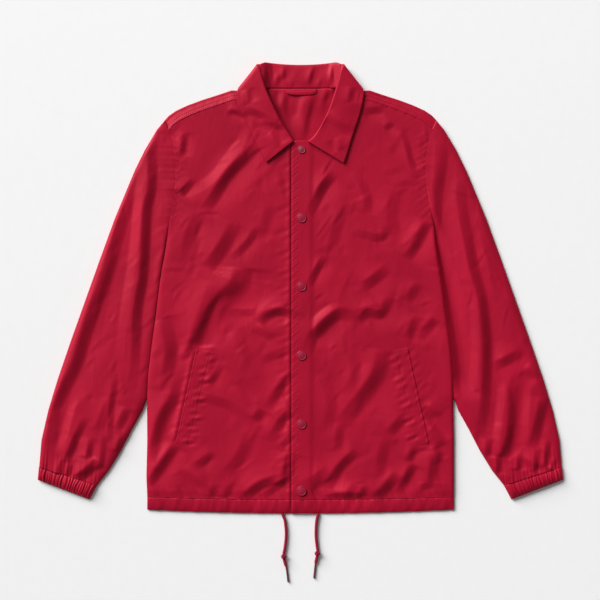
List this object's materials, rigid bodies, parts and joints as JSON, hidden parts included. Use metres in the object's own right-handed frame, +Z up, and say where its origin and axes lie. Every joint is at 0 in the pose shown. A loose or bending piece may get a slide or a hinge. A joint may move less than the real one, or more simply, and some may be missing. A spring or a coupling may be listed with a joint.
{
  "type": "coach jacket",
  "caption": "Snap-front coach jacket with a turned-down collar, long sleeves with gathered cuffs, slanted welt pockets and a drawcord hem, laid flat.",
  "frame": {"origin": "middle of the jacket's outline, without the drawcord ends, on the surface it lies on", "axes": "+X across the jacket towards the wearer's left sleeve, +Y towards the collar, +Z up off the surface"},
  "size_m": [0.9192, 0.909, 0.0095],
  "materials": {
    "shell_cloth": "plain-woven red nylon with a faint sheen",
    "snap_cap": "red enamelled snap caps, satin",
    "drawcord": "braided red polyester cord, matt",
    "cord_tip": "dark red shrunk sleeve on the cord's end"
  },
  "bodies": {
    "root": {"back": "shell_cloth", "front_left": "shell_cloth", "front_right": "shell_cloth", "sleeve_left": "shell_cloth", "sleeve_right": "shell_cloth", "cuff_left": "shell_cloth", "cuff_right": "shell_cloth", "collar": "shell_cloth", "hanger_loop": "shell_cloth", "welt_left": "shell_cloth", "welt_right": "shell_cloth", "hem_back": "shell_cloth", "hem_left": "shell_cloth", "hem_right": "shell_cloth", "snap_1": "snap_cap", "snap_2": "snap_cap", "snap_3": "snap_cap", "snap_4": "snap_cap", "snap_5": "snap_cap", "snap_6": "snap_cap", "cord_left": "drawcord", "cord_right": "drawcord", "knot_left": "drawcord", "knot_right": "drawcord", "tip_left": "cord_tip", "tip_right": "cord_tip"}
  },
  "joints": []
}
